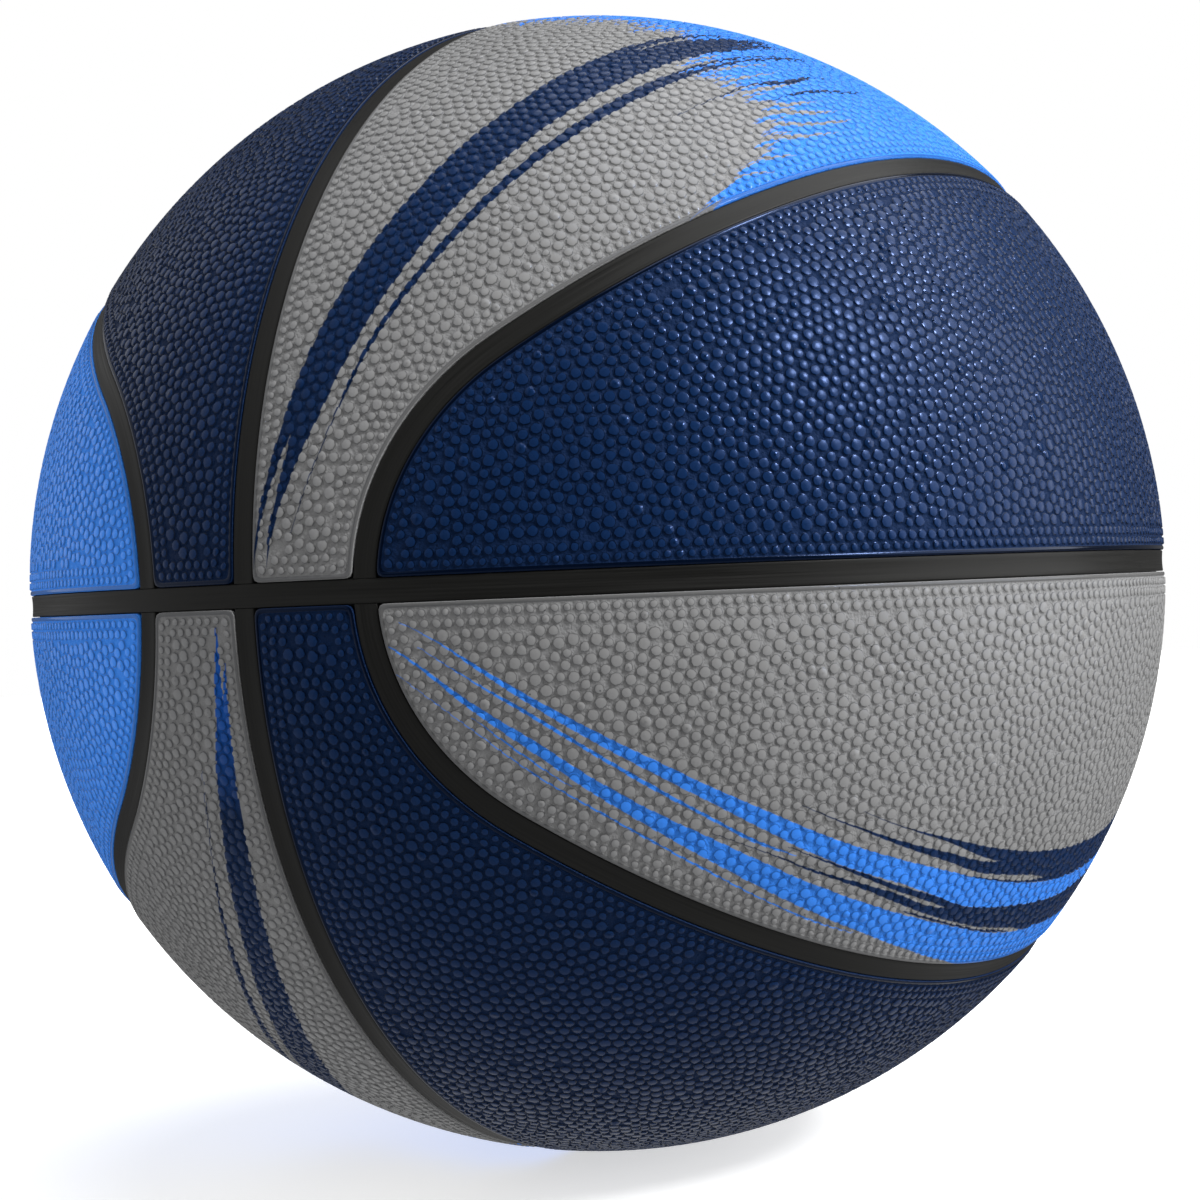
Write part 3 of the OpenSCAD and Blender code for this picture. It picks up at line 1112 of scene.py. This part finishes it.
@dataclass(frozen=True)
class NylonWinding(GrainedFinish):
    """Nylon thread wound round the bladder in all directions and set in latex: silky, crossed lines."""

    name: str = "nylon_thread_winding"
    colour: str = "#d8cfb8"
    shade: tuple[float, float] = (0.6, 1.0)
    roughness: tuple[float, float] = (0.5, 0.5)
    strength: float = 0.6
    relief: float = 0.2 * MM
    thread: float = 0.5 * MM
    waver: float = 0.6
    turns: tuple[tuple[float, float, float], ...] = ((0.3, 0.9, 0.0), (1.2, 0.2, 0.7), (0.8, 1.5, 1.9))

    def pattern(self, tree: Tree) -> Socket:
        """Three sets of lines, each turned another way."""
        place = add(tree, "TexCoord", out="Object")
        scale = math.tau / WAVE_RATE / self.thread
        waves = []
        for turn in self.turns:
            turned = add(tree, "Mapping", {"Vector": place, "Rotation": turn})
            waves.append(add(tree, "TexWave", {"Vector": turned, "Scale": scale, "Distortion": self.waver},
                             out="Fac", bands_direction="X"))
        return highest_of(tree, waves)


class Turn(Enum):
    """The half turns that bring a piece from the upper right quarter to its place."""

    NONE = (1, 1, 1)
    ABOUT_X = (1, -1, -1)
    ABOUT_Y = (-1, 1, -1)
    ABOUT_Z = (-1, -1, 1)


def place_piece(pattern: Object, name: str, turn: Turn, node: str,
                material: bpy.types.Material) -> None:
    """Copies a pattern piece to its place on the ball.

    Args:
        pattern: The piece as modelled in the upper right quarter.
        name: The copy's name.
        turn: The half turn that brings it to its place.
        node: The CAD node that it stands for.
        material: Its finish.
    """
    obj = pattern.copy()
    obj.data = pattern.data.copy()
    obj.name = obj.data.name = name
    bpy.context.scene.collection.objects.link(obj)
    obj.data.transform(Matrix.Diagonal((*turn.value, 1)))
    obj.data.materials.clear()
    obj.data.materials.append(material)
    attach(obj, BODY)
    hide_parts(node)
    LOG.info("%s stands for %s with %d triangles", name, node, len(obj.data.loop_triangles))


@dataclass(frozen=True)
class PanelPlace:
    """One panel of the cover: the CAD node that it stands for, and how it is turned."""

    node: str
    kind: PanelKind
    turn: Turn
    slot: str
    has_valve: bool = False


PANELS = (
    PanelPlace("right_upper_panel", PanelKind.SIDE, Turn.NONE, "navy_cover"),
    PanelPlace("right_lower_panel", PanelKind.SIDE, Turn.ABOUT_X, "striped_grey_cover"),
    PanelPlace("left_upper_panel", PanelKind.SIDE, Turn.ABOUT_Z, "bright_blue_cover"),
    PanelPlace("left_lower_panel", PanelKind.SIDE, Turn.ABOUT_Y, "bright_blue_cover"),
    PanelPlace("top_right_panel", PanelKind.BAND, Turn.NONE, "striped_grey_cover"),
    PanelPlace("bottom_right_panel", PanelKind.BAND, Turn.ABOUT_X, "navy_cover"),
    PanelPlace("bottom_left_panel", PanelKind.BAND, Turn.ABOUT_Y, "striped_grey_cover"),
    PanelPlace("top_left_panel", PanelKind.BAND, Turn.ABOUT_Z, "navy_cover", True),
)


@dataclass
class Cover:
    """The eight pebbled panels.

    The edge rows are the panel's rim, as mm from its edge and mm below the ball's surface. The
    collar rows are the rim of the valve's hole, as mm from its middle and the same depth.
    """

    ball: BallSizes
    lines: SeamLines
    pebbles: PebbleSizes
    floor_depth: float = 0.42 * MM
    top_band: float = 0.1 * MM
    unround: float = 0.13 * MM
    uneven: float = 0.07
    flat_band: float = 0.02 * MM
    smoothing: int = 28
    hole: float = 3.3 * MM
    collar: float = 5.9 * MM
    hole_points: int = 48
    pimple_margin: float = 0.3 * MM
    pimple_reach: float = 3.0
    under_pitch: float = 4 * MM
    band_seed: int = 11
    side_seed: int = 5
    skin_seed: int = 23
    under_seed: int = 1
    edge_rows_mm: Curve = ((0.0, 1.8), (0.0, 0.62), (0.02, 0.44), (0.09, 0.31), (0.22, 0.24), (0.42, 0.21),
                           (0.7, 0.27), (0.9, 0.42))
    collar_rows_mm: Curve = ((3.3, 1.8), (3.3, 0.7), (3.36, 0.5), (3.5, 0.38), (3.8, 0.31), (4.4, 0.28),
                             (5.2, 0.28), (5.7, 0.33), (5.9, 0.42))

    def ring(self, middle: Points, radius: float, count: int, start: float = 0.0) -> Points:
        """Directions on a small circle round a direction."""
        aslant = [0.3, 1.0, 0.2]
        side = unit(np.cross(middle, aslant))
        other = np.cross(middle, side)
        angle = start + np.arange(count) * math.tau / count
        around = np.cos(angle)[:, None] * side + np.sin(angle)[:, None] * other
        return unit(middle + around * radius / self.ball.radius)

    def skin(self, kind: PanelKind, has_valve: bool, name: str) -> Object:
        """Lays out one kind of panel in the upper right quarter, and raises its pebbles."""
        is_band = kind is PanelKind.BAND
        outline = PanelOutline(self.lines, kind)
        valve = np.array(Turn.ABOUT_Z.value) * self.ball.valve_axis
        keep_out = (valve, self.collar) if has_valve else None
        seed = self.band_seed if is_band else self.side_seed
        points, radii = PebbleField(outline, self.pebbles, seed, keep_out).settle()
        rng = np.random.default_rng(self.skin_seed)

        mesh = SkinMesh(self.ball, points.mean(0))
        rims = [outline.closed(inset * MM) for inset, _ in self.edge_rows_mm]
        rows = mesh.add_wall(rims, [depth * MM for _, depth in self.edge_rows_mm], True)
        holes, bottoms = [], [rows[0]]
        if has_valve:
            rims = [self.ring(valve, radius * MM, self.hole_points) for radius, _ in self.collar_rows_mm]
            collar = mesh.add_wall(rims, [depth * MM for _, depth in self.collar_rows_mm], False)
            holes, bottoms = [collar[-1]], [rows[0], collar[0]]

        corners = self.pebbles.corners + (0 if is_band else 1)
        starts = rng.uniform(0, math.tau, len(points))
        rings = [mesh.add_loop(self.ring(p, r, corners, a), self.floor_depth, True)
                 for p, r, a in zip(points, radii, starts)]
        pimples = self.pimples(mesh, points, radii, outline, keep_out)
        raised = mesh.add(pimples, self.floor_depth - self.pebbles.pimple_share * self.pebbles.height)
        tops = mesh.fill([rows[-1], *holes], rings, raised, False)
        mesh.fill(bottoms, [], mesh.add(self.under(outline, keep_out), self.ball.cover), True)
        obj = mesh.build(name)
        self.raise_pebbles(obj, tops, rng)
        LOG.info("%s has %d pebbles and %d pimples", name, len(points), len(pimples))
        return obj

    def pimples(self, mesh: SkinMesh, points: Points, radii: Points, outline: PanelOutline,
                keep_out: tuple[Points, float] | None) -> Points:
        """Finds the middles of the wide gaps between pebbles, where a low pimple stands."""
        triangles, _ = mesh.triangulate(mesh.flat(points), [], [])
        corner = points[triangles]
        a, b, c = (corner[:, i] for i in range(3))
        middle = unit(np.cross(b - a, c - a))
        middle *= np.sign(dots(middle, a))[:, None]
        room = (lengths(corner - middle[:, None]) * self.ball.radius - radii[triangles]).min(1)
        margin = self.pimple_margin
        inside = np.all([w.distance(middle) > self.pebbles.lip + margin for w in outline.walls()], axis=0)
        if keep_out is not None:
            inside &= lengths(middle - keep_out[0]) * self.ball.radius > keep_out[1] + margin
        widest = self.pimple_reach * self.pebbles.radius
        return middle[inside & (room > self.pebbles.pimple_gap) & (room < widest)]

    def under(self, outline: PanelOutline, keep_out: tuple[Points, float] | None) -> Points:
        """Even places for the panel's smooth underside."""
        sizes = PebbleSizes(pitch=self.under_pitch, lip=self.under_pitch / 2)
        field_under = PebbleField(outline, sizes, self.under_seed)
        spread = field_under.scatter(np.random.default_rng(self.under_seed), sizes.lip)
        if keep_out is None:
            return spread
        far = lengths(spread - keep_out[0]) * self.ball.radius > self.hole + sizes.lip
        return spread[far]

    def raise_pebbles(self, obj: Object, tops: list[int], rng: np.random.Generator) -> None:
        """Raises each pebble from its base, pits a few of them and smooths the whole skin."""
        sizes = self.pebbles
        work_on(obj)
        bpy.context.tool_settings.mesh_select_mode = (False, False, True)
        chosen = np.zeros(len(obj.data.polygons), bool)
        chosen[tops] = True
        select_only(obj.data, "polygons", chosen)
        with editing():
            bpy.ops.mesh.inset(thickness=sizes.shoulder, depth=sizes.height, use_individual=True)
        chosen = np.zeros(len(obj.data.polygons), bool)
        obj.data.polygons.foreach_get("select", chosen)
        chosen[chosen] = rng.random(chosen.sum()) < sizes.dimple_share
        select_only(obj.data, "polygons", chosen)
        with editing():
            bpy.ops.mesh.poke(offset=-sizes.dimple)
        self.settle_heights(obj.data)
        bpy.ops.object.shade_smooth()
        rounded = obj.modifiers.new("rounded_tops", "WEIGHTED_NORMAL")
        rounded.mode, rounded.weight = "FACE_AREA", self.smoothing
        bpy.ops.object.modifier_apply(modifier=rounded.name)

    def settle_heights(self, mesh: bpy.types.Mesh) -> None:
        """Lets the pebbles' tops stand a little unevenly and out of round, as a worn mould leaves them."""
        points = vertex_places(mesh)
        radius = lengths(points)
        is_top = radius > self.ball.radius - self.top_band
        # Crossed waves of a few millimetres, so that no two pebbles near each other are alike.
        short, long, shift = 3900, 2700, [0.3, 1.7, 2.9]
        drift = np.sin(points[:, [1, 2, 0]] * short + shift) * np.sin(points[:, [2, 0, 1]] * long + 1)
        points += self.unround * drift * is_top[:, None]
        points *= (radius / lengths(points))[:, None]
        floor = self.ball.radius - self.floor_depth
        one_way, other_way = [2300.0, 1900.0, -1500.0], [-1700.0, 2100.0, 1300.0]
        wave = np.sin(points @ one_way) * np.sin(points @ other_way)
        risen = floor + (radius - floor) * (1 - self.uneven + self.uneven * wave)
        points *= (np.where(radius > floor + self.flat_band, risen, radius) / radius)[:, None]
        move_vertices(mesh, points)

    def build(self, finishes: dict[str, Finish]) -> None:
        """Makes the three kinds of skin, and copies them to the eight places."""
        skins: dict[tuple[PanelKind, bool], Object] = {}
        for place in PANELS:
            key = (place.kind, place.has_valve)
            if key not in skins:
                skins[key] = self.skin(place.kind, place.has_valve, "pattern_" + place.node)
            name = place.node.replace("_panel", "_cover")
            material = finishes[place.node].material()
            place_piece(skins[key], name, place.turn, place.node, material)
        for obj in skins.values():
            bpy.data.objects.remove(obj)


class StripLine(Enum):
    """The three lines that seam strips follow."""

    EQUATOR = "all round"
    MERIDIAN = "over the top"
    LOOP = "upper half of the right loop"


STRIPS = {
    "equator": (StripLine.EQUATOR, Turn.NONE),
    "upper_meridian": (StripLine.MERIDIAN, Turn.NONE),
    "lower_meridian": (StripLine.MERIDIAN, Turn.ABOUT_X),
    "right_loop_upper": (StripLine.LOOP, Turn.NONE),
    "right_loop_lower": (StripLine.LOOP, Turn.ABOUT_X),
    "left_loop_upper": (StripLine.LOOP, Turn.ABOUT_Z),
    "left_loop_lower": (StripLine.LOOP, Turn.ABOUT_Y),
}


@dataclass
class SeamStrips:
    """The seven black strips. Each is modelled flat and then laid along its seam."""

    ball: BallSizes
    lines: SeamLines
    edge_round: float = 0.22 * MM
    edge_steps: int = 3
    hollow: float = 0.12 * MM
    step: float = 2.4 * MM
    cuts_across: int = 5
    near: float = 0.01 * MM
    weld: float = 0.001 * MM
    crease: float = math.radians(50)

    def length(self, line: StripLine) -> float:
        """The strip's length along its middle."""
        if line is StripLine.EQUATOR:
            return math.tau * self.ball.radius
        if line is StripLine.MERIDIAN:
            return math.pi * self.ball.radius
        return 2 * self.ball.loop_turn + 2 * self.ball.radius

    def flat(self, name: str, length: float) -> Object:
        """Models the strip flat: along X from 0, across Y, with its face at Z = 0."""
        deselect_all()
        near, width, depth = self.near, 2 * self.ball.half_strip, self.ball.cover - self.ball.strip_sink
        middle = (length / 2, 0, -depth / 2)
        bpy.ops.mesh.primitive_cube_add(size=1, location=middle, scale=(length, width, depth))
        obj = bpy.context.active_object
        bpy.ops.object.transform_apply(location=True, rotation=False, scale=True)
        obj.name = obj.data.name = name
        bpy.context.tool_settings.mesh_select_mode = (False, True, False)
        for test, work in (
            (lambda a, b: a.z > -near and b.z > -near and abs(a.y - b.y) < near,
             lambda: bpy.ops.mesh.bevel(offset=self.edge_round, segments=self.edge_steps, affect="EDGES")),
            (lambda a, b: abs(a.z - b.z) < near and abs(a.y - b.y) > width / 2,
             lambda: bpy.ops.mesh.subdivide(number_cuts=self.cuts_across)),
            (lambda a, b: abs(a.x - b.x) > length / 2,
             lambda: bpy.ops.mesh.subdivide(number_cuts=round(length / self.step))),
        ):
            ends = [[obj.data.vertices[i].co for i in edge.vertices] for edge in obj.data.edges]
            select_only(obj.data, "edges", np.array([test(a, b) for a, b in ends]))
            with editing():
                work()
        return obj

    def lay(self, obj: Object, line: StripLine, length: float) -> None:
        """Bends the flat strip to its seam and keeps its flat places as a UV map."""
        mesh = obj.data
        flat = vertex_places(mesh)
        corner = np.zeros(len(mesh.loops), int)
        mesh.loops.foreach_get("vertex_index", corner)
        mesh.uv_layers.new(name="strip").data.foreach_set("uv", flat[corner][:, :2].ravel())

        share, across, height = flat[:, 0] / length, flat[:, 1], flat[:, 2]
        if line is StripLine.EQUATOR:
            angle, tilt = math.tau * share, across / self.ball.radius
            way = xyz(np.cos(angle) * np.cos(tilt), np.sin(angle) * np.cos(tilt), np.sin(tilt))
        elif line is StripLine.MERIDIAN:
            cut = self.lines.moved(0.0, across)
            way = unit(self.lines.meridian(share, cut, self.ball.strip_end))
        else:
            way = unit(self.lines.loop(share, 0.0, across, self.ball.strip_end))
        dip = self.hollow * np.clip(1 - (across / (self.ball.half_strip - self.edge_round)) ** 2, 0, None)
        height = np.where(height > -self.near, height - dip, height)
        move_vertices(mesh, way * (self.ball.radius - self.ball.strip_sink + height)[:, None])

    def close(self, obj: Object, ring: bool) -> None:
        """Joins the ends of an endless strip, and turns all faces outwards."""
        work_on(obj)
        with editing():
            bpy.ops.mesh.select_all(action="SELECT")
            if ring:
                bpy.ops.mesh.remove_doubles(threshold=self.weld)
                bpy.ops.mesh.select_all(action="DESELECT")
                bpy.ops.mesh.select_mode(type="FACE")
                bpy.ops.mesh.select_interior_faces()
                bpy.ops.mesh.delete(type="FACE")
                bpy.ops.mesh.select_all(action="SELECT")
            bpy.ops.mesh.normals_make_consistent(inside=False)
        bpy.ops.object.shade_smooth_by_angle(angle=self.crease)

    def build(self, finish: Finish) -> None:
        """Makes the three lines' strips, and copies them to the seven places."""
        material = finish.material()
        made: dict[StripLine, Object] = {}
        for name, (line, turn) in STRIPS.items():
            if line not in made:
                length = self.length(line)
                made[line] = self.flat("pattern_" + name, length)
                self.lay(made[line], line, length)
                self.close(made[line], line is StripLine.EQUATOR)
            place_piece(made[line], name + "_seam", turn, name + "_strip", material)
        for obj in made.values():
            bpy.data.objects.remove(obj)


@dataclass
class Core:
    """What lies under the cover: the CAD model's own pieces, which get their finishes."""

    finishes: dict[str, Finish]

    def build(self) -> None:
        """Dresses each piece."""
        for node, finish in self.finishes.items():
            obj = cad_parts[node]
            material = finish.material()
            obj.data.materials.clear()
            obj.data.materials.append(material)
            LOG.info("%s is dressed in %s", node, material.name)


@dataclass(frozen=True)
class StudioWhite(Finish):
    """White acrylic, lit from behind. A paint makes it matt white for light from the front too."""

    light: float
    paint: str | None = None

    def surface(self, tree: Tree) -> Socket:
        """The light, and the paint."""
        light = add(tree, "Emission", {"Color": linear("#ffffff"), "Strength": self.light})
        if self.paint is None:
            return light
        return add(tree, "AddShader", {0: add(tree, "BsdfDiffuse", {"Color": linear(self.paint)}), 1: light})


@dataclass(frozen=True)
class Lamp:
    """A large soft light far away: where it stands as the camera sees it, and its width in degrees."""

    name: str
    towards: tuple[float, float, float]
    energy: float
    softness: float


@dataclass
class Studio:
    """The plain pale room, its lights, and the camera where the photographer stood."""

    ball: BallSizes
    distance: float = 0.49975
    azimuth: float = math.radians(30.84)
    elevation: float = math.radians(-0.23)
    camera_turn: tuple[float, float, float] = (89.834, 2.348, 30.791)
    lens: float = 68.92
    clip: tuple[float, float] = (0.01, 20.0)
    room_radius: float = 3.0
    room_height: float = 1.6
    room_sides: int = 96
    wall_light: float = 1.0
    table_light: float = 0.6
    fill_light: float = 0.30
    fill_gloss: float = 0.12
    lamps: tuple[Lamp, ...] = (
        Lamp("top_light", (0.3, 0.94, -0.05), 2.5, 62),
        Lamp("right_light", (0.92, 0.3, 0.2), 3.0, 62),
        Lamp("front_light", (0.64, 0.64, 0.42), 2.9, 12),
        Lamp("left_light", (-0.92, 0.3, 0.0), 1.2, 100),
        Lamp("table_glow", (0.0, -1.0, 0.1), 1.3, 130),
    )

    def room(self) -> None:
        """A round floor and a bright wall round it, which only the camera sees."""
        low, size = -self.ball.radius, {"vertices": self.room_sides, "radius": self.room_radius}
        table = StudioWhite("lit_white_acrylic_table", self.table_light, "#dadada")
        backdrop = StudioWhite("lit_white_backdrop", self.wall_light)
        deselect_all()
        bpy.ops.mesh.primitive_circle_add(fill_type="NGON", location=(0, 0, low), **size)
        floor = bpy.context.active_object
        bpy.ops.mesh.primitive_cylinder_add(depth=self.room_height, end_fill_type="NOTHING",
                                            location=(0, 0, low + self.room_height / 2), **size)
        wall = bpy.context.active_object
        for obj, name, finish in ((floor, "studio_floor", table), (wall, "studio_wall", backdrop)):
            obj.name = name
            obj.data.materials.append(finish.material())
            obj.visible_glossy = obj.visible_diffuse = obj.visible_shadow = False

    def sky(self) -> None:
        """A soft fill from all sides, which the ball's gloss hardly shows, as in a dark hall."""
        world = bpy.data.worlds.new("studio_sky")
        world.use_nodes = True
        tree = world.node_tree
        is_gloss = add(tree, "LightPath", out="Is Glossy Ray")
        background = tree.nodes["Background"]
        background.inputs["Color"].default_value = linear("#ffffff")
        strength = remap(tree, is_gloss, 0.0, 1.0, self.fill_light, self.fill_gloss)
        tree.links.new(strength, background.inputs["Strength"])
        bpy.context.scene.world = world

    def lights(self) -> None:
        """The lamps, turned with the camera."""
        view = Euler([math.radians(a) for a in self.camera_turn]).to_matrix()
        for lamp in self.lamps:
            data = bpy.data.lights.new(lamp.name, "SUN")
            data.energy = lamp.energy
            data.angle = math.radians(lamp.softness)
            obj = bpy.data.objects.new(lamp.name, data)
            obj.rotation_euler = (view @ Vector(lamp.towards)).to_track_quat("Z", "Y").to_euler()
            bpy.context.scene.collection.objects.link(obj)

    def camera(self) -> None:
        """The camera."""
        data = bpy.data.cameras.new("camera")
        data.lens = self.lens
        data.clip_start, data.clip_end = self.clip
        camera = bpy.data.objects.new("camera", data)
        flat = self.distance * math.cos(self.elevation)
        camera.location = (flat * math.sin(self.azimuth), -flat * math.cos(self.azimuth),
                           self.distance * math.sin(self.elevation))
        camera.rotation_euler = Euler([math.radians(a) for a in self.camera_turn])
        bpy.context.scene.collection.objects.link(camera)
        bpy.context.scene.camera = camera

    def build(self) -> None:
        """Sets the room up."""
        self.room()
        self.sky()
        self.lights()
        self.camera()
        bpy.context.scene.view_settings.view_transform = "Standard"


def main() -> None:
    """Builds the ball's looks and the studio."""
    logging.basicConfig(level=logging.INFO, format="%(message)s")
    lines = SeamLines(BALL)
    # The navy gets deeper painted shade in its valleys and on its pebbles' flanks.
    navy = CoverRubber("navy_pebbled_rubber", Ink.NAVY, BALL, sheen="#86a8f2", painted_valley_shade=0.65,
                       painted_flank_shade=0.18)
    blue = CoverRubber("bright_blue_pebbled_rubber", Ink.BLUE, BALL, sheen="#bcd6ff")
    top = PrintedCover("grey_rubber_top_print", Ink.GREY, BALL, grain_way=Grain.TOP_RIGHT,
                       prints=TOP_RIGHT_PRINT)
    bottom = PrintedCover("grey_rubber_bottom_print", Ink.GREY, BALL, grain_way=Grain.BOTTOM_LEFT,
                          prints=BOTTOM_LEFT_PRINT, blue_tip=(8, 19))
    side = PrintedCover("grey_rubber_side_print", Ink.GREY, BALL, grain_way=Grain.RIGHT_LOWER,
                        prints=RIGHT_LOWER_PRINT)
    Cover(BALL, lines, PebbleSizes()).build({
        "right_upper_panel": navy, "bottom_right_panel": navy, "top_left_panel": navy,
        "left_upper_panel": blue, "left_lower_panel": blue,
        "top_right_panel": top, "bottom_left_panel": bottom, "right_lower_panel": side,
    })
    SeamStrips(BALL, lines).build(SeamRubber())
    Core({
        "bladder": DullRubber("butyl_bladder_rubber", "#141414"),
        "valve_housing": DullRubber("moulded_housing_rubber", "#3a3a3a"),
        "valve_plug": DullRubber("soft_valve_rubber", "#151515", roughness=(0.42, 0.58)),
        "carcass": DullRubber("moulded_carcass_rubber", "#1c1c1d"),
        "winding": NylonWinding(),
    }).build()
    Studio(BALL).build()


if __name__ == "__main__":
    main()
